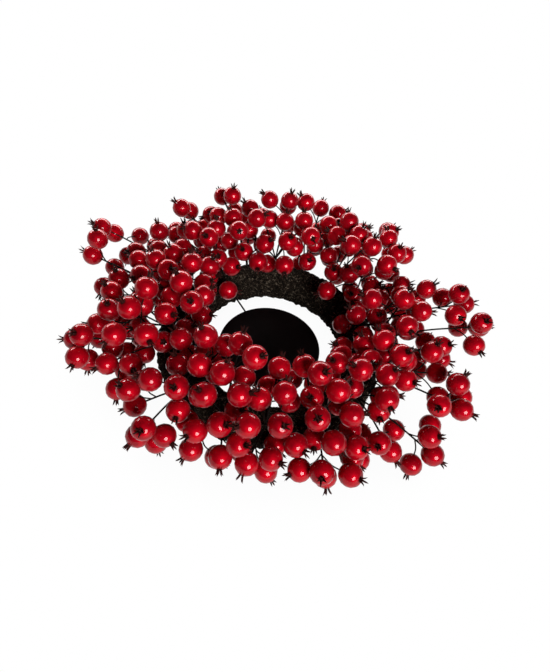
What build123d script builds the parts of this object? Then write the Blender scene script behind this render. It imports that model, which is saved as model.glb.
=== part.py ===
from build123d import *

import math
import os

import numpy as np

os.makedirs("parts", exist_ok=True)

# Candle ring: a foam ring in a fibre cover stands on the table, a black candle plate lies in its middle
# on three wire arms, and picks of red berries on forked wire stems cover the ring all round.
# Millimetres, +Z up, with the origin where the candle stands: the middle of the plate's top.

# Ring
ring_radius = 71.5  # axis to the middle of the ring's round section
core_section_radius = 12.3
base_flat_depth = 1.6  # sliced off the underside, so that the ring stands flat
cover_thickness = 1.2
cover_gap = 0.05
cover_lift = 0.6  # how far the cover's edges end above the table

# Candle plate and its arms
plate_diameter = 80.0
plate_thickness = 1.0
plate_edge_round = 0.3
plate_top_height = 10.0  # above the table
arm_wire_diameter = 1.4
arm_start_radius = 12.0  # where an arm begins under the plate
arm_depth_in_core = 7.0
arm_azimuths = (128.0, 220.0, 322.0)
arm_gap = 0.05

# Berries and their crowns
berry_diameter = 15.5
berry_stem_flat = 2.4  # diameter of the flat that the wire enters
dimple_diameter = 5.8
dimple_floor_diameter = 4.0
dimple_depth = 0.8
stem_seat_depth = 3.0
crown_diameter = 3.8  # across the circle that the sepals' points lie on
crown_notch_diameter = 1.7
crown_height = 3.8
crown_floor_diameter = 0.6  # across the bottom of its hollow
crown_hollow_depth = 2.8
sepal_count = 5
sepal_tip_width = 0.15

# Wires of a pick: the stem in the ring, the twigs that leave its end and the branchlets on the twigs
stem_wire_diameter = 2.0
stem_depth_in_core = 9.0
stem_rise = 7.0  # how far the stem stands out of the cover
stem_lean = 65.0  # degrees above level, seen across the ring
stem_knot_diameter = 3.0
twig_wire_diameter = 1.2
branchlet_wire_diameter = 0.9
wire_gap = 0.05
twig_bow = 0.07  # rise of a twig's bend, as a share of its length
branchlet_bow = 0.12
bend_share = 0.4  # share of each straight run that a bend's arc takes up

# Room that the berries leave
candle_clearance = 1.0
berry_clearance = 0.4

# Picks, anticlockwise from the right: azimuth in degrees, reach and height of the outermost berry,
# height of the crest, reach and height of the innermost berry, with heights from the table
picks = [
    (6, 152, 50, 66, 62, 44),
    (18, 147, 52, 70, 70, 46),
    (39, 133, 54, 72, 74, 48),
    (58, 150, 50, 70, 78, 46),
    (78, 132, 52, 66, 80, 46),
    (96, 124, 54, 64, 80, 46),
    (114, 142, 46, 62, 74, 44),
    (134, 144, 42, 60, 66, 44),
    (154, 161, 38, 58, 60, 44),
    (171, 151, 42, 58, 56, 44),
    (190, 126, 40, 58, 54, 46),
    (202, 141, 36, 58, 52, 54),
    (232, 121, 22, 58, 50, 60),
    (255, 105, 20, 58, 50, 68),
    (275, 92, 24, 58, 50, 54),
    (299, 112, 20, 60, 50, 56),
    (325, 143, 22, 62, 54, 52),
    (342, 142, 42, 64, 60, 46),
]

# Twigs of a pick: how many side berries each carries, and how many degrees it turns off the pick's azimuth
side_berries = {"outer": 3, "shoulder": 3, "crest": 3, "saddle": 3, "inner": 2, "brow": 3, "flank": 3}
twig_turns = {"outer": 3, "shoulder": -7, "crest": 5, "saddle": -8, "inner": 6, "brow": -2, "flank": 9}
shoulder_radius = 112.0
shoulder_rise = 14.0  # above half the height of the outermost berry
crest_radius = 92.0
saddle_radius = 74.0
saddle_height = 40.0
flank_radius = 97.0
flank_height = 38.0
branchlet_lengths = (12.5, 24.0)
branchlet_leans = (38.0, 80.0)  # degrees off the twig
scatter = (2.0, 3.0, 4.0)  # degrees, radius and height by which a twig's end strays
places_tried = 320
scatter_seed = 8

table_height = -plate_top_height
section_height = table_height + core_section_radius - base_flat_depth
cover_section_radius = core_section_radius + cover_gap + cover_thickness
berry_radius = berry_diameter / 2
crown_ball_radius = 0.7 * crown_height
crown_ball_reach = berry_radius + 0.4 * crown_height
upward = np.array([0.0, 0.0, 1.0])


def around(azimuth, radius, height):
    """A point at an azimuth and radius from the ring's axis."""
    angle = math.radians(azimuth)
    return np.array([radius * math.cos(angle), radius * math.sin(angle), height])


def unit(vector):
    return vector / np.linalg.norm(vector)


def stem_direction(azimuth):
    lean = math.radians(stem_lean)
    return around(azimuth, math.cos(lean), math.sin(lean))


def bent_wire(first, centre, bow, bow_direction):
    """Start, bend and berry centre of a wire that rises off the straight line by its bow."""
    run = centre - first
    length = np.linalg.norm(run)
    seen = length - berry_radius
    bend = first + run * (0.5 * seen / length) + bow * length * bow_direction
    return np.array([first, bend, centre])


def rounded(wire):
    """The wire's line with its bend drawn in to the arc, as straight runs."""
    first, bend, last = wire
    reach = bend_share * np.linalg.norm(bend - first)
    before = bend + reach * unit(first - bend)
    after = bend + reach * unit(last - bend)
    return np.array([first, before, 0.25 * before + 0.5 * bend + 0.25 * after, after, last])


def distances(points, heads, tails):
    """Distance of every point from every straight run, one row for each run."""
    runs = tails - heads
    offsets = points[None] - heads[:, None]
    along = np.clip((offsets * runs[:, None]).sum(2) / (runs * runs).sum(1)[:, None], 0, 1)
    return np.linalg.norm(offsets - along[..., None] * runs[:, None], axis=2)


class Crowd:
    """The berries, crowns and wires placed so far. A berry and its crown each count as a ball."""

    def __init__(self):
        self.balls = np.zeros((0, 3))
        self.ball_radii = np.zeros(0)
        self.heads = np.zeros((0, 3))
        self.tails = np.zeros((0, 3))
        self.wire_radii = np.zeros(0)
        self.owners = np.zeros(0, int)

    def add_wire(self, line, radius, owner):
        count = len(line) - 1
        self.heads = np.vstack([self.heads, line[:-1]])
        self.tails = np.vstack([self.tails, line[1:]])
        self.wire_radii = np.append(self.wire_radii, [radius] * count)
        self.owners = np.append(self.owners, [owner] * count)

    def add_berry(self, balls, radii):
        self.balls = np.vstack([self.balls, balls])
        self.ball_radii = np.append(self.ball_radii, radii)

    def has_room(self, line, radius, owner, balls, radii):
        """Whether a wire and the berry on it stay clear of the candle, table, ring and all the rest."""
        level = np.linalg.norm(balls[:, :2], axis=1)
        if np.any(level < plate_diameter / 2 + candle_clearance + radii):
            return False
        if np.any(balls[:, 2] - table_height < radii + berry_clearance):
            return False
        points = np.vstack([np.linspace(a, b, 24) for a, b in zip(line[:-1], line[1:])])
        solid = np.vstack([balls, points])
        sizes = np.append(radii, np.full(len(points), radius))
        across = np.linalg.norm(solid[:, :2], axis=1) - ring_radius
        from_ring = np.hypot(across, solid[:, 2] - section_height) - cover_section_radius
        if np.any(from_ring < sizes + berry_clearance):
            return False
        apart = np.linalg.norm(balls[:, None] - self.balls[None], axis=2)
        if np.any(apart < radii[:, None] + self.ball_radii + berry_clearance):
            return False
        to_wire = distances(self.balls, line[:-1], line[1:])
        if np.any(to_wire < self.ball_radii + radius + berry_clearance):
            return False
        to_wires = distances(balls, self.heads, self.tails)
        if np.any(to_wires < self.wire_radii[:, None] + radii + berry_clearance):
            return False
        other = self.owners != owner
        between = distances(points, self.heads[other], self.tails[other])
        return not np.any(between < self.wire_radii[other][:, None] + radius + berry_clearance)

    def seat(self, wire, diameter, owner):
        """Take a wire with its berry in, if there is room, and say whether it was."""
        axis = unit(wire[2] - wire[1])
        balls = np.array([wire[2], wire[2] + crown_ball_reach * axis])
        radii = np.array([berry_radius, crown_ball_radius])
        line = rounded(wire)
        if not self.has_room(line, diameter / 2, owner, balls, radii):
            return False
        self.add_wire(line, diameter / 2, owner)
        self.add_berry(balls, radii)
        return True


def twig_ends(pick, side):
    """Kind, azimuth, radius and height of the end of each of a pick's twigs."""
    azimuth, reach, tip_height, crest_height, inner_reach, inner_height = pick
    places = {
        "outer": (reach, tip_height),
        "shoulder": ((reach + 2 * shoulder_radius) / 3, tip_height / 2 + shoulder_rise),
        "crest": (crest_radius, crest_height),
        "saddle": (saddle_radius + inner_reach / 8, saddle_height + crest_height / 12),
        "inner": (inner_reach, inner_height),
        "brow": ((inner_reach + saddle_radius) / 2, (inner_height + saddle_height) / 2),
        "flank": (flank_radius, flank_height),
    }
    return [(kind, azimuth + twig_turns[kind] * side, *place) for kind, place in places.items()]


def grow_picks():
    """For each pick, its wires as (start, bend, berry centre, diameter), each tried until it has room."""
    draw = np.random.default_rng(scatter_seed)
    crowd = Crowd()
    hubs = []
    for number, pick in enumerate(picks):
        heart = around(pick[0], ring_radius, section_height)
        hub = heart + (cover_section_radius + stem_rise) * stem_direction(pick[0])
        crowd.add_wire(np.array([heart, hub]), stem_wire_diameter / 2, number)
        hubs.append(hub)
    wires = [[] for _ in picks]
    twigs = []
    for order in range(len(side_berries)):
        for number, pick in enumerate(picks):
            kind, azimuth, radius, height = twig_ends(pick, -1 if number % 2 else 1)[order]
            for attempt in range(places_tried):
                loose = 1 + 3 * attempt / places_tried
                stray = loose * draw.uniform(-1, 1, 3) * scatter
                end = around(azimuth + stray[0], radius + stray[1], table_height + height + stray[2])
                twig = bent_wire(hubs[number], end, twig_bow, upward)
                if crowd.seat(twig, twig_wire_diameter, number):
                    wires[number].append((*twig, twig_wire_diameter))
                    twigs.append((number, kind, twig))
                    break
    for turn in range(max(side_berries.values())):
        for number, kind, (_, bend, end) in twigs:
            if turn >= side_berries[kind]:
                continue
            along = unit(end - bend)
            sideways = unit(np.cross(along, upward))
            straight = np.linalg.norm(end - bend) - berry_radius
            for attempt in range(places_tried):
                spin = draw.uniform(0, 2 * math.pi)
                lean = math.radians(draw.uniform(*branchlet_leans))
                off = math.cos(spin) * sideways + math.sin(spin) * np.cross(along, sideways)
                first = bend + along * straight * draw.uniform(bend_share + 0.05, 0.95)
                length = draw.uniform(*branchlet_lengths)
                centre = first + length * (math.cos(lean) * along + math.sin(lean) * off)
                branchlet = bent_wire(first, centre, branchlet_bow, along)
                if crowd.seat(branchlet, branchlet_wire_diameter, number):
                    wires[number].append((*branchlet, branchlet_wire_diameter))
                    break
    return hubs, wires


hubs, wires = grow_picks()

# Where the stems and the arms sit in the ring
stem_planes = []
for azimuth, *_ in picks:
    direction = stem_direction(azimuth)
    foot = around(azimuth, ring_radius, section_height)
    foot = foot + (core_section_radius - stem_depth_in_core) * direction
    stem_planes.append(Plane(Vector(*foot), z_dir=Vector(*direction)))
stem_hole_length = stem_depth_in_core + stem_rise
stem_length = stem_depth_in_core + cover_gap + cover_thickness + stem_rise

arm_height = -plate_thickness - arm_wire_diameter / 2 - arm_gap
core_half_width = math.sqrt(core_section_radius**2 - (arm_height - section_height) ** 2)
arm_end_radius = ring_radius - core_half_width + arm_depth_in_core
arm_length = arm_end_radius - arm_start_radius
arm_planes = []
for azimuth in arm_azimuths:
    start = around(azimuth, arm_start_radius, arm_height)
    arm_planes.append(Plane(Vector(*start), z_dir=Vector(*around(azimuth, 1, 0))))

# Ring core: a round section with its underside sliced flat, with a hole for each stem and arm
with BuildPart() as ring_core:
    with BuildSketch(Plane.XZ):
        with Locations((ring_radius, section_height)):
            Circle(core_section_radius)
        with Locations((ring_radius, table_height)):
            slice_size = 2 * core_section_radius
            Rectangle(slice_size, slice_size, align=(Align.CENTER, Align.MAX), mode=Mode.SUBTRACT)
    revolve(axis=Axis.Z)
    with BuildSketch(*stem_planes):
        Circle(stem_wire_diameter / 2 + wire_gap)
    extrude(amount=stem_hole_length, mode=Mode.SUBTRACT)
    with BuildSketch(*arm_planes):
        Circle(arm_wire_diameter / 2 + arm_gap)
    extrude(amount=arm_length, mode=Mode.SUBTRACT)
ring_core.part.label = "ring_core"
export_step(ring_core.part, "parts/ring_core.step")

# Ring cover: a fibre skin round the core, open under it, pierced by the stems and arms
with BuildPart() as ring_cover:
    with BuildSketch(Plane.XZ):
        with Locations((ring_radius, section_height)):
            Circle(cover_section_radius)
            Circle(core_section_radius + cover_gap, mode=Mode.SUBTRACT)
        with Locations((ring_radius, table_height + cover_lift)):
            slice_size = 2 * cover_section_radius
            Rectangle(slice_size, slice_size, align=(Align.CENTER, Align.MAX), mode=Mode.SUBTRACT)
    revolve(axis=Axis.Z)
    with BuildSketch(*stem_planes):
        Circle(stem_wire_diameter / 2 + wire_gap)
    extrude(amount=stem_hole_length, mode=Mode.SUBTRACT)
    with BuildSketch(*arm_planes):
        Circle(arm_wire_diameter / 2 + arm_gap)
    extrude(amount=arm_length, mode=Mode.SUBTRACT)
ring_cover.part.label = "ring_cover"
export_step(ring_cover.part, "parts/ring_cover.step")

# Candle plate: a flat disc of sheet steel with softened edges
with BuildPart() as candle_plate:
    with BuildSketch(Plane.XY.offset(-plate_thickness)):
        Circle(plate_diameter / 2)
    extrude(amount=plate_thickness)
    fillet(candle_plate.edges(), radius=plate_edge_round)
candle_plate.part.label = "candle_plate"
export_step(candle_plate.part, "parts/candle_plate.step")

# Plate arms: straight wires under the plate, pushed into the ring
for number, plane in enumerate(arm_planes, start=1):
    with BuildPart() as plate_arm:
        with BuildSketch(plane):
            Circle(arm_wire_diameter / 2)
        extrude(amount=arm_length)
    plate_arm.part.label = f"plate_arm_{number}"
    export_step(plate_arm.part, f"parts/plate_arm_{number}.step")

# Berry: a lacquered ball about its own centre, crown end up, with a dimple and a hole for its wire
stem_flat_height = -math.sqrt(berry_radius**2 - (berry_stem_flat / 2) ** 2)
dimple_rim_height = math.sqrt(berry_radius**2 - (dimple_diameter / 2) ** 2)
dimple_floor_height = dimple_rim_height - dimple_depth
wire_end_height = stem_flat_height + stem_seat_depth
berry_forms = {}
for wire_diameter in (twig_wire_diameter, branchlet_wire_diameter):
    with BuildPart() as berry:
        with BuildSketch(Plane.XZ):
            with BuildLine():
                Line((0, stem_flat_height), (berry_stem_flat / 2, stem_flat_height))
                ThreePointArc(
                    (berry_stem_flat / 2, stem_flat_height),
                    (berry_radius, 0),
                    (dimple_diameter / 2, dimple_rim_height),
                )
                Polyline(
                    (dimple_diameter / 2, dimple_rim_height),
                    (dimple_floor_diameter / 2, dimple_floor_height),
                    (0, dimple_floor_height),
                    (0, stem_flat_height),
                )
            make_face()
        revolve(axis=Axis.Z)
        with BuildSketch(Plane.XY.offset(stem_flat_height)):
            Circle(wire_diameter / 2 + wire_gap)
        extrude(amount=stem_seat_depth, mode=Mode.SUBTRACT)
    berry_forms[wire_diameter] = berry.part

# Crown: a star of five sepals that a cone hollows out to their points, standing on the dimple's floor
star_corners = []
for number in range(sepal_count):
    bearing = number * 360 / sepal_count
    star_corners.append(Vector(*around(bearing, crown_diameter / 2, 0)))
    star_corners.append(Vector(*around(bearing + 180 / sepal_count, crown_notch_diameter / 2, 0)))
with BuildPart() as crown_form:
    with BuildSketch():
        with BuildLine():
            Polyline(*star_corners, close=True)
        make_face()
    extrude(amount=crown_height)
    with Locations((0, 0, crown_height)):
        Cone(
            crown_floor_diameter / 2,
            crown_diameter / 2 - sepal_tip_width,
            crown_hollow_depth,
            align=(Align.CENTER, Align.CENTER, Align.MAX),
            mode=Mode.SUBTRACT,
        )


def berry_plane(wire, spin, height):
    """The plane square to a wire's berry, at a height along its axis from its centre."""
    _, bend, centre, _ = wire
    axis = unit(centre - bend)
    sideways = unit(np.cross(axis, upward))
    turned = math.cos(spin) * sideways + math.sin(spin) * np.cross(axis, sideways)
    return Plane(Vector(*(centre + height * axis)), x_dir=Vector(*turned), z_dir=Vector(*axis))


def wire_tube(wire):
    """A round wire from its start to the end of its berry's hole, bent on one wide arc."""
    first, bend, centre, diameter = wire
    end = centre + wire_end_height * unit(centre - bend)
    leg = Vector(*(bend - first))
    last_leg = Vector(*(end - bend))
    half_turn = math.radians(leg.get_angle(last_leg) / 2)
    bend_radius = bend_share * leg.length / math.tan(half_turn)
    with BuildPart() as tube:
        with BuildLine():
            FilletPolyline(Vector(*first), Vector(*bend), Vector(*end), radius=bend_radius)
        with BuildSketch(Plane(Vector(*first), z_dir=leg)):
            Circle(diameter / 2)
        sweep()
    return tube.part


# Picks: each a forked stem in its hole in the ring, with a berry on every wire end
golden_turn = math.pi * (3 - math.sqrt(5))
for number, (stem_plane, hub, pick_wires) in enumerate(zip(stem_planes, hubs, wires), start=1):
    name = f"berry_pick_{number:02d}"
    tubes = [wire_tube(wire) for wire in pick_wires]
    with BuildPart() as stem:
        with BuildSketch(stem_plane):
            Circle(stem_wire_diameter / 2)
        extrude(amount=stem_length)
        with Locations(Vector(*hub)):
            Sphere(stem_knot_diameter / 2)
        add(tubes)
    stem.part.label = f"{name}_stem"
    export_step(stem.part, f"parts/{name}_stem.step")

    with BuildPart() as berries:
        for diameter, form in berry_forms.items():
            seats = [berry_plane(wire, 0, 0) for wire in pick_wires if wire[3] == diameter]
            with Locations(*seats):
                add(form)
    berries.part.label = f"{name}_berries"
    export_step(berries.part, f"parts/{name}_berries.step")

    with BuildPart() as crowns:
        spins = [golden_turn * index for index in range(len(pick_wires))]
        seats = [berry_plane(wire, spin, dimple_floor_height) for wire, spin in zip(pick_wires, spins)]
        with Locations(*seats):
            add(crown_form.part)
    crowns.part.label = f"{name}_crowns"
    export_step(crowns.part, f"parts/{name}_crowns.step")
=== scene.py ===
import math
import random

import bpy
import numpy as np
from mathutils import Matrix, Vector


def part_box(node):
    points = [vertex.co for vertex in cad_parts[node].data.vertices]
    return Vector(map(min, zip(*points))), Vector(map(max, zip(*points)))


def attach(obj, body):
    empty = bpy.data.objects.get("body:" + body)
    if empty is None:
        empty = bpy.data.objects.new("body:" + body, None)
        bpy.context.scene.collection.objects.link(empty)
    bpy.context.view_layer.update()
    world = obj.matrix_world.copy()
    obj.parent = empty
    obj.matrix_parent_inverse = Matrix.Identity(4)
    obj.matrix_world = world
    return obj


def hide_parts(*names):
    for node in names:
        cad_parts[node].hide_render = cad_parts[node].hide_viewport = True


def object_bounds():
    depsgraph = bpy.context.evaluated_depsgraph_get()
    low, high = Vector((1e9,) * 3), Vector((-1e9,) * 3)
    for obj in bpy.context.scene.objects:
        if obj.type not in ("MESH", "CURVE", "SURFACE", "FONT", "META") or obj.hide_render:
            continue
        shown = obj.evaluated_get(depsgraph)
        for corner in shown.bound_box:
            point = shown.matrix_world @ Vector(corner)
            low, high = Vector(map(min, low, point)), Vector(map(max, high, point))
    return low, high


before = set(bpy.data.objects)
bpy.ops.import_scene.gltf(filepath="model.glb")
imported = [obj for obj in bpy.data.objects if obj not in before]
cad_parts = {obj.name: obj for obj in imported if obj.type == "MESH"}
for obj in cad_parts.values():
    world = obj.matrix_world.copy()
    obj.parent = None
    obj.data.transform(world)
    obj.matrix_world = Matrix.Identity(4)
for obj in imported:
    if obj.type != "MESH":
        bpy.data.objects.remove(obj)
cad_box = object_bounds()


# The foam core: a ring of expanded foam, moulded in one piece and cut flat underneath.
# Every stem and plate arm is pushed into it, and only its flat base shows below the cover.
def begin_finish(name):
    """A new material, with its node tree and its main shader."""
    finish = bpy.data.materials.new(name)
    finish.use_nodes = True
    return finish, finish.node_tree, finish.node_tree.nodes["Principled BSDF"]


def set_inputs(node, **inputs):
    """Sets sockets to fixed values; an underscore stands for a space in a socket's name."""
    for name, value in inputs.items():
        node.inputs[name.replace("_", " ")].default_value = value


def add_node(tree, kind, **inputs):
    node = tree.nodes.new("ShaderNode" + kind)
    set_inputs(node, **inputs)
    return node


def add_pattern(tree, kind, place=None, **inputs):
    """The value of a texture, laid out over the piece itself where no other place is given."""
    if place is None:
        place = add_node(tree, "TexCoord").outputs["Object"]
    pattern = add_node(tree, "Tex" + kind, **inputs)
    tree.links.new(place, pattern.inputs["Vector"])
    return pattern.outputs[0]


def colour_steps(tree, source, tones):
    """A colour that follows the source through steps of (value, colour)."""
    ramp = add_node(tree, "ValToRGB")
    bar = ramp.color_ramp.elements
    while len(bar) < len(tones):
        bar.new(position=0.5)
    for mark, (value, colour) in zip(bar, tones):
        mark.position = value
        mark.color = (*colour, 1)
    tree.links.new(source, ramp.inputs["Fac"])
    return ramp.outputs["Color"]


def colour_surface(tree, shader, source, *tones):
    tree.links.new(colour_steps(tree, source, tones), shader.inputs["Base Color"])


def raise_surface(tree, shader, source, strength, height):
    bump = add_node(tree, "Bump", Strength=strength, Distance=height)
    tree.links.new(source, bump.inputs["Height"])
    tree.links.new(bump.outputs["Normal"], shader.inputs["Normal"])


def coat_node(node_name, finish):
    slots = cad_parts[node_name].data.materials
    slots.clear()
    slots.append(finish)


foam_light = (0.17, 0.16, 0.13)
foam_shade = (0.06, 0.055, 0.045)

foam, tree, shader = begin_finish("expanded_foam")
beads = add_pattern(tree, "Voronoi", Scale=420)
colour_surface(tree, shader, beads, (0.1, foam_light), (0.7, foam_shade))
set_inputs(shader, Roughness=0.9)
raise_surface(tree, shader, beads, strength=0.5, height=-0.0006)
coat_node("ring_core", foam)


# The fibre cover: matted grey-brown plant fibre, wrapped over the foam and open underneath.
# It is felted into one lumpy skin, which is glued to the core.
def select_only(piece):
    bpy.ops.object.select_all(action="DESELECT")
    piece.select_set(True)
    bpy.context.view_layer.objects.active = piece


def edit_all(piece):
    select_only(piece)
    bpy.ops.object.mode_set(mode="EDIT")
    bpy.ops.mesh.select_all(action="SELECT")


def end_edit():
    bpy.ops.object.mode_set(mode="OBJECT")


def apply_modifier(piece, kind, **settings):
    select_only(piece)
    modifier = piece.modifiers.new(kind.title(), kind)
    for name, value in settings.items():
        setattr(modifier, name, value)
    bpy.ops.object.modifier_apply(modifier=modifier.name)


def remove_model(model):
    mesh = model.data
    bpy.data.objects.remove(model)
    bpy.data.meshes.remove(mesh)


def add_torus(section, round_ring, round_section):
    """A torus on the ring's own middle line, with so many faces round the ring and the section."""
    bpy.ops.mesh.primitive_torus_add(
        major_radius=ring_radius, minor_radius=section,
        major_segments=round_ring, minor_segments=round_section, location=(0, 0, ring_height))
    return bpy.context.object


def combine(tree, operation, *values, kind="Math", result="Value"):
    """The result of one operation on sockets and fixed numbers."""
    node = add_node(tree, kind)
    node.operation = operation
    for socket, value in zip(node.inputs, values):
        if isinstance(value, bpy.types.NodeSocket):
            tree.links.new(value, socket)
        else:
            socket.default_value = value
    return node.outputs[result]


def settle(piece, finish, slot, *replaced):
    """Gives a finished piece its material and its body, and hides the nodes it replaces; the slot is not
    used.
    """
    piece.data.materials.clear()
    piece.data.materials.append(finish)
    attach(piece, "root")
    if replaced:
        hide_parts(*replaced)


ring_radius = 0.0715  # from the ring's axis to the middle of its section
ring_height = 0.0007  # of the middle of the section over the top of the plate
cover_low, cover_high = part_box("ring_cover")
core_low, core_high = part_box("ring_core")
skin_inset = 0.0002
skin_section = cover_high.z - ring_height - skin_inset
skin_over_foam = 0.0007
skin_thickness = 0.0005
felt_waves = {"lumps": (0.008, 0.0050), "clumps": (0.0034, 0.0030), "nap": (0.0013, 0.0010)}
felt_wave_depth = 2
felt_level = 0.38  # the noise value at which the skin stays where it is

cover = add_torus(skin_section, round_ring=260, round_section=44)
cover.name = "fibre_cover"
bpy.ops.object.transform_apply(location=True, rotation=True, scale=True)
for wave, (size, lift) in felt_waves.items():
    noise = bpy.data.textures.new("cover_" + wave, "CLOUDS")
    noise.noise_scale = size
    noise.noise_depth = felt_wave_depth
    apply_modifier(
        cover, "DISPLACE", texture=noise, texture_coords="LOCAL", strength=lift, mid_level=felt_level)
foam_form = add_torus(core_high.z - ring_height, round_ring=180, round_section=48)
apply_modifier(cover, "SHRINKWRAP", target=foam_form, wrap_mode="OUTSIDE", offset=skin_over_foam)
remove_model(foam_form)
edit_all(cover)
bpy.ops.mesh.bisect(plane_co=(0, 0, cover_low.z), plane_no=(0, 0, 1), clear_inner=True)
end_edit()
apply_modifier(cover, "SOLIDIFY", thickness=skin_thickness, offset=-1)
bpy.ops.object.shade_smooth()

fibre_dark = (0.0030, 0.0022, 0.0016)
fibre_brown = (0.020, 0.0142, 0.0098)
fibre_grey = (0.230, 0.192, 0.142)

felt, tree, shader = begin_finish("matted_fibre")
speckle = add_pattern(tree, "Noise", Scale=520, Detail=6, Roughness=0.75)
strands = add_pattern(tree, "Noise", Scale=260, Detail=3, Distortion=2.5)
matting = combine(tree, "MULTIPLY", speckle, strands)
colour_surface(tree, shader, matting, (0.19, fibre_dark), (0.30, fibre_brown), (0.44, fibre_grey))
set_inputs(shader, Roughness=0.95, Specular_IOR_Level=0.06)
raise_surface(tree, shader, matting, strength=0.9, height=0.0012)
settle(cover, felt, "fibre_cover", "ring_cover")


# The cover's tufts: loose ends of the same plant fibre, which stand off the cover all round.
# Each tuft is five short fibres that spread from one spot, rooted in the felted skin.
def extrude_up(piece, steps):
    """Draws the selected end face out by (outward, upward, width share) steps, the last to a point."""
    for number, (outward, upward, share) in enumerate(steps):
        bpy.ops.mesh.extrude_region_move(TRANSFORM_OT_translate={"value": (outward, 0, upward)})
        if number == len(steps) - 1:
            bpy.ops.mesh.merge(type="CENTER")
        else:
            piece.update_from_editmode()
            end = [corner.co for corner in piece.data.vertices if corner.select]
            middle = sum(end, Vector()) / len(end)
            bpy.ops.transform.resize(value=(share, share, 1), center_override=middle)


def make_spike(name, thickness, start, steps, turn):
    """A thin three-sided spike that starts off the axis, leans outwards and ends in a point."""
    bpy.ops.mesh.primitive_circle_add(vertices=3, radius=thickness, fill_type="NGON", location=start)
    spike = bpy.context.object
    spike.name = name
    spike.rotation_euler = (0, 0, math.radians(90))  # turns a flat side outwards
    bpy.ops.object.transform_apply(location=True, rotation=True, scale=True)
    edit_all(spike)
    extrude_up(spike, steps)
    bpy.ops.mesh.select_all(action="SELECT")
    bpy.ops.mesh.normals_make_consistent(inside=False)
    end_edit()
    spike.data.transform(Matrix.Rotation(turn, 4, "Z"))
    return spike


def join_all(pieces, name):
    bpy.ops.object.select_all(action="DESELECT")
    for piece in pieces:
        piece.select_set(True)
    bpy.context.view_layer.objects.active = pieces[0]
    if len(pieces) > 1:
        bpy.ops.object.join()
    pieces[0].name = name
    return pieces[0]


def set_out(model, place, number):
    """A copy of a model, moved to its place."""
    copy = bpy.data.objects.new(f"{model.name}_{number}", model.data.copy())
    bpy.context.scene.collection.objects.link(copy)
    copy.data.transform(place)
    return copy


tuft_count = 1100
tuft_kinds = 4
tuft_sizes = (0.7, 1.3)
tuft_band = (-12, 192)  # degrees round the section, from the outer side over the top to the inner side
fibres_in_tuft = 5
fibre_thickness = 0.00016
fibre_root = (0.0002, 0, -0.0005)
fibre_steps = [(0.0007, 0.0010, 0.8), (0.0012, 0.0007, 0.6), (0.0013, 0.0001, 0)]
fibre_reaches = (0.6, 1.5)
fibre_rises = (0.5, 1.2)
fibre_stray = 40  # degrees

chance = random.Random(11)
tuft_models = []
for kind in range(tuft_kinds):
    fibres = []
    for number in range(fibres_in_tuft):
        reach = chance.uniform(*fibre_reaches)
        rise = chance.uniform(*fibre_rises)
        steps = [(outward * reach, upward * rise, share) for outward, upward, share in fibre_steps]
        turn = math.radians(360 / fibres_in_tuft * number + chance.uniform(-fibre_stray, fibre_stray))
        fibres.append(make_spike("fibre", fibre_thickness, fibre_root, steps, turn))
    tuft_models.append(join_all(fibres, f"tuft_{kind}"))

tufts = []
for number in range(tuft_count):
    round_ring = chance.uniform(0, math.tau)
    round_section = math.radians(chance.uniform(*tuft_band))
    outward = Vector((math.cos(round_ring), math.sin(round_ring), 0))
    normal = outward * math.cos(round_section) + Vector((0, 0, math.sin(round_section)))
    spot = outward * ring_radius + Vector((0, 0, ring_height)) + normal * skin_section
    spin = Matrix.Rotation(chance.uniform(0, math.tau), 4, "Z")
    size = Matrix.Scale(chance.uniform(*tuft_sizes), 4)
    stand = normal.to_track_quat("Z", "Y").to_matrix().to_4x4()
    place = Matrix.Translation(spot) @ stand @ spin @ size
    tufts.append(set_out(chance.choice(tuft_models), place, number))
tuft_layer = join_all(tufts, "cover_tufts")
for model in tuft_models:
    remove_model(model)

loose_fibre, tree, shader = begin_finish("loose_fibre")
fibre_mix = add_pattern(tree, "Noise", Scale=700, Detail=4)
colour_surface(tree, shader, fibre_mix, (0.35, fibre_dark), (0.5, fibre_brown), (0.68, fibre_grey))
set_inputs(shader, Roughness=0.8, Specular_IOR_Level=0.08)
raise_surface(tree, shader, fibre_mix, strength=0.3, height=0.0003)
settle(tuft_layer, loose_fibre, "fibre_cover")


# The three plate arms: short lengths of black-painted steel wire.
# Each is welded under the candle plate and pushed into the foam through the cover.
def vary_roughness(tree, shader, source, least, most):
    """Lets the roughness follow a pattern between two values."""
    gloss = add_node(tree, "MapRange", To_Min=least, To_Max=most)
    tree.links.new(source, gloss.inputs["Value"])
    tree.links.new(gloss.outputs["Result"], shader.inputs["Roughness"])


arm_names = ("plate_arm_1", "plate_arm_2", "plate_arm_3")
arm_black = (0.006, 0.006, 0.0065)
arm_worn = (0.022, 0.020, 0.019)

arm_paint, tree, shader = begin_finish("painted_wire")
scuffs = add_pattern(tree, "Noise", Scale=500, Detail=5)
colour_surface(tree, shader, scuffs, (0.45, arm_black), (0.75, arm_worn))
vary_roughness(tree, shader, scuffs, least=0.35, most=0.6)
raise_surface(tree, shader, scuffs, strength=0.2, height=0.0002)
for arm in arm_names:
    coat_node(arm, arm_paint)


# The candle plate: a disc of thin sheet steel with a rounded edge, sprayed satin black.
# The candle stands on it; it has a fine spray texture and faint scuffs from candle bases.
plate_black = (0.0022, 0.0022, 0.0025)
plate_scuffed = (0.006, 0.0056, 0.0056)

plate_paint, tree, shader = begin_finish("satin_black_paint")
spray = add_pattern(tree, "Noise", Scale=2200, Detail=2)
rubs = add_pattern(tree, "Noise", Scale=90, Detail=6, Roughness=0.65, Distortion=1.2)
colour_surface(tree, shader, rubs, (0.4, plate_black), (0.8, plate_scuffed))
vary_roughness(tree, shader, rubs, least=0.42, most=0.62)
set_inputs(shader, Specular_IOR_Level=0.15)
raise_surface(tree, shader, spray, strength=0.12, height=0.0001)
coat_node("candle_plate", plate_paint)


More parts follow.
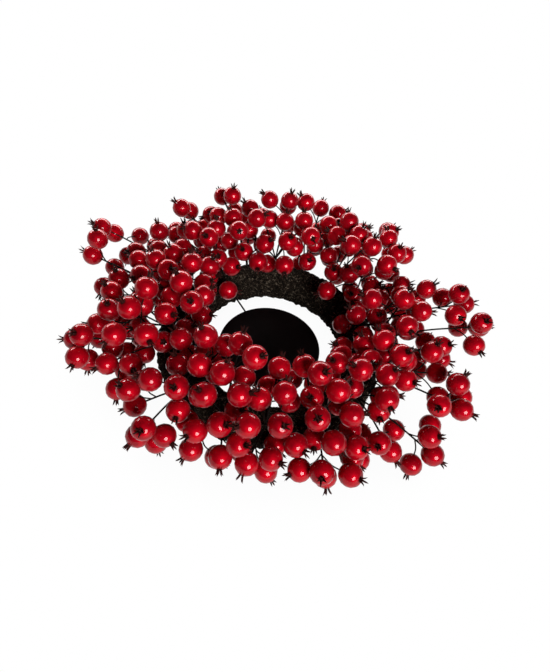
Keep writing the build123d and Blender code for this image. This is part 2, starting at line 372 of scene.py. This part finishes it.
# The pick stems: eighteen forked stems of annealed wire, bound in dark brown paper tape.
# Side wires are bound in at the knots, and each main stem is pushed into the foam ring.
stem_ending = "_stem"
pick_names = sorted(name[:-len(stem_ending)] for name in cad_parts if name.endswith(stem_ending))
tape_dark = (0.0035, 0.0024, 0.0020)
tape_brown = (0.011, 0.0065, 0.0048)

tape, tree, shader = begin_finish("stem_tape")
crepe = add_pattern(tree, "Noise", Scale=1100, Detail=4, Roughness=0.6)
fade = add_pattern(tree, "Noise", Scale=120, Detail=3)
colour_surface(tree, shader, fade, (0.35, tape_dark), (0.7, tape_brown))
vary_roughness(tree, shader, crepe, least=0.35, most=0.65)
set_inputs(shader, Specular_IOR_Level=0.06)
raise_surface(tree, shader, crepe, strength=0.5, height=0.0004)
for pick in pick_names:
    coat_node(pick + stem_ending, tape)


# The berries: foam balls dipped in red lacquer, each with a dimple at its crown end.
# Each is glued on the end of its wire, and the hollow of the dimple round the crown is coloured near-black
# brown as painted shade.
def loose_pieces(node_name):
    """The corner points of each separate solid in a CAD node, from a merged copy of it."""
    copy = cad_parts[node_name].copy()
    copy.data = copy.data.copy()
    copy.parent = None
    bpy.context.scene.collection.objects.link(copy)
    edit_all(copy)
    bpy.ops.mesh.remove_doubles(threshold=merge_distance)
    bpy.ops.mesh.separate(type="LOOSE")
    end_edit()
    found = []
    for piece in list(bpy.context.selected_objects):
        found.append(np.array([corner.co for corner in piece.data.vertices], float))
        remove_model(piece)
    return found


def ball_centre(points, radius):
    """The centre of the ball that most of a berry's surface lies on."""
    kept = points
    for tolerance in fit_tolerances:
        sums = np.c_[2 * kept, np.ones(len(kept))]
        centre = np.linalg.lstsq(sums, (kept ** 2).sum(1), rcond=None)[0][:3]
        kept = points[abs(np.linalg.norm(points - centre, axis=1) - radius) < tolerance]
    return Vector(centre)


def pick_corners(piece, wanted):
    """Goes into edit mode with the corners selected that the test wants."""
    edit_all(piece)
    bpy.ops.mesh.select_mode(type="VERT")
    bpy.ops.mesh.select_all(action="DESELECT")
    end_edit()
    for corner in piece.data.vertices:
        corner.select = wanted(corner)
    bpy.ops.object.mode_set(mode="EDIT")


merge_distance = 1e-6
fit_tolerances = (0.0012, 0.0005, 0.0002)
berry_radius = 0.00775
facet_allowance = 1.009  # sets the corners a little outside the ball, as the flats between lie inside
rim_low, rim_high = 0.85, 0.95  # the dimple's rim is the ring of corners between, in berry radii
rim_share = 0.80
rim_lift = 0.0002
dimple_depth = 0.0014

bpy.ops.mesh.primitive_uv_sphere_add(segments=16, ring_count=8, radius=berry_radius * facet_allowance)
berry = bpy.context.object
berry.name = "berry"
pick_corners(berry, lambda corner: rim_low < corner.co.z / berry_radius < rim_high)
bpy.ops.transform.resize(value=(rim_share, rim_share, 1), center_override=(0, 0, 0))
bpy.ops.transform.translate(value=(0, 0, rim_lift))
end_edit()
pick_corners(berry, lambda corner: corner.co.z > berry_radius)
bpy.ops.transform.translate(value=(0, 0, -dimple_depth))
end_edit()
select_only(berry)
bpy.ops.object.shade_smooth()
own_place = berry.data.attributes.new("berry_place", "FLOAT_VECTOR", "POINT")
own_place.data.foreach_set(
    "vector", [part / berry_radius for corner in berry.data.vertices for part in corner.co])
berry.data.attributes.new("berry_tone", "FLOAT", "POINT")

lacquer_red = (0.52, 0.0010, 0.010)
lacquer_deep = (0.30, 0.0005, 0.007)
# painted shade: the near-black brown that darkens the dimple's hollow round the crown
dimple_painted_shade = (0.030, 0.001, 0.002)
tone_share = 0.10  # of a berry's own tone in how deep its red is
dimple_middle, dimple_edge = 0.15, 0.36  # off the berry's axis, in berry radii

lacquer, tree, shader = begin_finish("red_lacquer")
place = add_node(tree, "Attribute")
place.attribute_name = "berry_place"
tone = add_node(tree, "Attribute")
tone.attribute_name = "berry_tone"
own_spot = combine(
    tree, "ADD", place.outputs["Vector"], tone.outputs["Fac"], kind="VectorMath", result="Vector")
mottle = add_pattern(tree, "Noise", own_spot, Scale=1.6, Detail=3, Roughness=0.55)
depth = combine(tree, "MULTIPLY_ADD", tone.outputs["Fac"], tone_share, mottle)
skin_colour = colour_steps(tree, depth, [(0.3, lacquer_deep), (0.62, lacquer_red)])
across = combine(
    tree, "MULTIPLY", place.outputs["Vector"], (1, 1, 0), kind="VectorMath", result="Vector")
off_axis = combine(tree, "LENGTH", across, kind="VectorMath")
outside_dimple = add_node(tree, "MapRange", From_Min=dimple_middle, From_Max=dimple_edge)
outside_dimple.interpolation_type = "SMOOTHSTEP"
tree.links.new(off_axis, outside_dimple.inputs["Value"])
split = add_node(tree, "SeparateXYZ")
tree.links.new(place.outputs["Vector"], split.inputs["Vector"])
stem_side = combine(tree, "LESS_THAN", split.outputs["Z"], 0)
red_share = combine(tree, "MAXIMUM", outside_dimple.outputs["Result"], stem_side)
# Mixes in the dimple's painted shade on the crown side, near the berry's axis.
berry_colour = add_node(tree, "MixRGB", Color1=(*dimple_painted_shade, 1))
tree.links.new(red_share, berry_colour.inputs["Fac"])
tree.links.new(skin_colour, berry_colour.inputs["Color2"])
tree.links.new(berry_colour.outputs["Color"], shader.inputs["Base Color"])
flow = add_pattern(tree, "Noise", own_spot, Scale=5, Detail=4)
vary_roughness(tree, shader, flow, least=0.52, most=0.66)
set_inputs(
    shader, Metallic=0.5, Specular_IOR_Level=0.05, Specular_Tint=(1, 0.35, 0.40, 1),
    Sheen_Weight=0.12, Sheen_Roughness=0.3, Sheen_Tint=(1, 0.45, 0.50, 1),
    Coat_Weight=1.0, Coat_Roughness=0.05, Coat_IOR=1.37)
raise_surface(tree, shader, flow, strength=0.03, height=0.0005)

round_sizes = (0.97, 1.0)
long_sizes = (0.96, 1.0)

seats = {}
chance = random.Random(4)
for pick in pick_names:
    balls = [ball_centre(points, berry_radius) for points in loose_pieces(pick + "_berries")]
    crown_middles = [Vector(points.mean(0)) for points in loose_pieces(pick + "_crowns")]
    copies = []
    seats[pick] = []
    for number, centre in enumerate(balls):
        crown_middle = min(crown_middles, key=lambda middle: (middle - centre).length)
        axis = (crown_middle - centre).normalized()
        turn = axis.to_track_quat("Z", "Y").to_matrix().to_4x4()
        spin = Matrix.Rotation(chance.uniform(0, math.tau), 4, "Z")
        seat = Matrix.Translation(centre) @ turn @ spin
        seats[pick].append(seat)
        round_size = chance.uniform(*round_sizes)
        long_size = chance.uniform(*long_sizes)
        size = Matrix.Diagonal((round_size, round_size, long_size, 1))
        copy = set_out(berry, seat @ size, number)
        level = chance.uniform(-1, 1)
        copy.data.attributes["berry_tone"].data.foreach_set("value", [level] * len(copy.data.vertices))
        copies.append(copy)
    cluster = join_all(copies, pick + "_red_berries")
    settle(cluster, lacquer, "berry_red", pick + "_berries")
remove_model(berry)


# The crowns: dried brown calyxes of stiff paper, one glued into the dimple of every berry.
# Each has four or five pointed sepals that spread and curl, and they stand on a small hollow cup,
# or on a thin disc in the crowns that are fully open.
def make_crown(name, spread, sepal_count):
    bpy.ops.mesh.primitive_cylinder_add(
        vertices=8, radius=cup_radius, depth=cup_height, location=(0, 0, crown_base + cup_height / 2))
    cup = bpy.context.object
    bpy.ops.object.transform_apply(location=True, rotation=True, scale=True)
    # The inset hollows the cup from its top. In the first crown made, the open one, corners are
    # still what is selected, so it takes every face and draws the cup in to a thin disc.
    for face in cup.data.polygons:
        face.select = face.normal.z > level_top
    bpy.ops.object.mode_set(mode="EDIT")
    bpy.ops.mesh.select_mode(type="FACE")
    bpy.ops.mesh.inset(thickness=cup_wall, depth=-cup_hollow)
    end_edit()
    sepals = []
    for number in range(sepal_count):
        curl = spread * chance.uniform(*sepal_curls)
        steps = [(outward * curl, upward, share) for outward, upward, share in sepal_steps]
        tip_outward, tip_upward, point = sepal_tip
        steps.append((tip_outward * curl, tip_upward * chance.uniform(*tip_rises), point))
        turn = math.radians(360 / sepal_count * number + chance.uniform(-sepal_stray, sepal_stray))
        sepals.append(make_spike("sepal", sepal_thickness, sepal_root, steps, turn))
    return join_all([cup, *sepals], name)


crown_sink = 0.0011
crown_base = berry_radius - crown_sink
cup_radius = 0.00150
cup_height = 0.0010
cup_wall = cup_radius * 0.4
cup_hollow = cup_height * 0.5
level_top = 0.9  # a face whose normal rises more than this is the top of the cup
sepal_thickness = 0.00076
sepal_root = (cup_radius * 0.70, 0, crown_base + cup_height * 0.4)
sepal_steps = [(0.00035, 0.0016, 0.95), (0.00075, 0.0016, 0.75)]
sepal_tip = (0.00105, 0.0014, 0)
sepal_curls = (0.8, 1.2)
tip_rises = (0.5, 1.1)
sepal_stray = 10  # degrees
crown_kinds = {  # how far the sepals spread, and how many there are
    "open_crown": (1.05, 5),
    "half_open_crown": (0.80, 5),
    "upright_crown": (0.55, 5),
    "worn_crown": (0.90, 4)}
crown_edge = 40  # degrees, the sharpest bend that is shaded smooth
crown_dark = (0.012, 0.0024, 0.0022)
crown_brown = (0.070, 0.0130, 0.0105)

dried, tree, shader = begin_finish("dried_calyx")
veins = add_pattern(tree, "Noise", Scale=1300, Detail=5, Distortion=1.5)
colour_surface(tree, shader, veins, (0.35, crown_dark), (0.7, crown_brown))
vary_roughness(tree, shader, veins, least=0.4, most=0.75)
set_inputs(shader, Specular_IOR_Level=0.1)
raise_surface(tree, shader, veins, strength=0.5, height=0.0004)

crown_models = [make_crown(name, spread, sepals) for name, (spread, sepals) in crown_kinds.items()]
for pick in pick_names:
    copies = [set_out(chance.choice(crown_models), seat, number) for number, seat in enumerate(seats[pick])]
    crowns = join_all(copies, pick + "_dried_crowns")
    bpy.ops.object.shade_smooth_by_angle(angle=math.radians(crown_edge))
    settle(crowns, dried, "crown_brown", pick + "_crowns")
for model in crown_models:
    remove_model(model)


# The floor and backdrop: a plain white sweep that the ring stands on.
# The camera sees it as white, with a soft shadow round the ring painted into its glow from ambient
# occlusion, as on a studio table.
floor_height = cad_box[0].z
floor_size = 8
white = (1, 1, 1, 1)
sweep_grey = (0.24, 0.24, 0.24, 1)
mirrored_share = 0.6  # of the white that shows in the berries' gloss
painted_shadow_reach = 0.05

bpy.ops.mesh.primitive_plane_add(size=floor_size, location=(0, 0, floor_height))
floor = bpy.context.object
floor.name = "floor"
sweep, tree, shader = begin_finish("white_sweep")
set_inputs(shader, Base_Color=sweep_grey, Roughness=0.8)
rays = add_node(tree, "LightPath")
mirrored = combine(tree, "MAXIMUM", rays.outputs["Is Glossy Ray"], rays.outputs["Is Transmission Ray"])
glimpse = combine(tree, "MULTIPLY", mirrored, mirrored_share)
white_share = combine(tree, "MAXIMUM", rays.outputs["Is Camera Ray"], glimpse)
# Painted shadow: ambient occlusion dims the sweep's white glow near the ring.
under = add_node(tree, "AmbientOcclusion", Distance=painted_shadow_reach)
painted_contact_shadow = add_node(tree, "MapRange", From_Min=0.1, From_Max=0.85, To_Min=0.95, To_Max=1.0)
tree.links.new(under.outputs["AO"], painted_contact_shadow.inputs["Value"])
glow = add_node(tree, "Emission", Color=white)
tree.links.new(painted_contact_shadow.outputs["Result"], glow.inputs["Strength"])
seen = add_node(tree, "MixShader")
tree.links.new(white_share, seen.inputs["Fac"])
tree.links.new(shader.outputs["BSDF"], seen.inputs[1])
tree.links.new(glow.outputs["Emission"], seen.inputs[2])
tree.links.new(seen.outputs["Shader"], tree.nodes["Material Output"].inputs["Surface"])
floor.data.materials.append(sweep)

wall_low = (0.09, 0.09, 0.09)
wall_middle = (0.028, 0.028, 0.029)
wall_high = (0.010, 0.010, 0.011)

room = bpy.data.worlds.new("studio")
bpy.context.scene.world = room
room.use_nodes = True
tree = room.node_tree
aim = add_node(tree, "TexCoord")
split = add_node(tree, "SeparateXYZ")
tree.links.new(aim.outputs["Generated"], split.inputs["Vector"])
walls = colour_steps(tree, split.outputs["Z"], [(0.0, wall_low), (0.25, wall_middle), (0.75, wall_high)])
rays = add_node(tree, "LightPath")
backdrop = add_node(tree, "MixRGB", Color2=white)
tree.links.new(rays.outputs["Is Camera Ray"], backdrop.inputs["Fac"])
tree.links.new(walls, backdrop.inputs["Color1"])
tree.links.new(backdrop.outputs["Color"], tree.nodes["Background"].inputs["Color"])


# The studio lamps: one round softbox at the front right of the camera as the main light.
# A softbox at the back left and a long strip behind put the pale arcs on the berries' tops.
def hang_lamp(name, place, aim_at, wide, high, power):
    """An area lamp turned at a spot, round where it is as high as wide."""
    bpy.ops.object.light_add(type="AREA", location=place)
    lamp = bpy.context.object
    lamp.name = name
    lamp.data.shape = "ELLIPSE" if wide == high else "RECTANGLE"
    lamp.data.size = wide
    lamp.data.size_y = high
    lamp.data.energy = power
    lamp.rotation_euler = (Vector(place) - Vector(aim_at)).to_track_quat("Z", "Y").to_euler()


hang_lamp("main_softbox", place=(0.52, -0.94, 0.64), aim_at=(0, 0, 0.02), wide=0.66, high=0.66, power=18.0)
hang_lamp("left_softbox", place=(-0.72, 0.45, 0.30), aim_at=(0, 0, 0.03), wide=0.16, high=0.16, power=0.8)
hang_lamp("back_strip", place=(-0.2, 0.95, 0.29), aim_at=(0, 0, 0.03), wide=2.0, high=0.24, power=13.0)


# The camera: above the front edge of the table, tilted down at the ring and turned a little.
# Its place and angle come from the plate's and ring's ellipses in the photograph.
photo_long_side = 672
focal_pixels = 450
camera_place = (0.003, -0.218, 0.281)
look_down = 50.9
roll = 10.1
sensor_width = 36

bpy.ops.object.camera_add(location=camera_place)
camera = bpy.context.object
camera.rotation_mode = "ZYX"
camera.rotation_euler = (math.radians(90 - look_down), 0, math.radians(roll))
camera.data.sensor_width = sensor_width
camera.data.lens = sensor_width * focal_pixels / photo_long_side
bpy.context.scene.camera = camera
bpy.context.scene.view_settings.view_transform = "Standard"
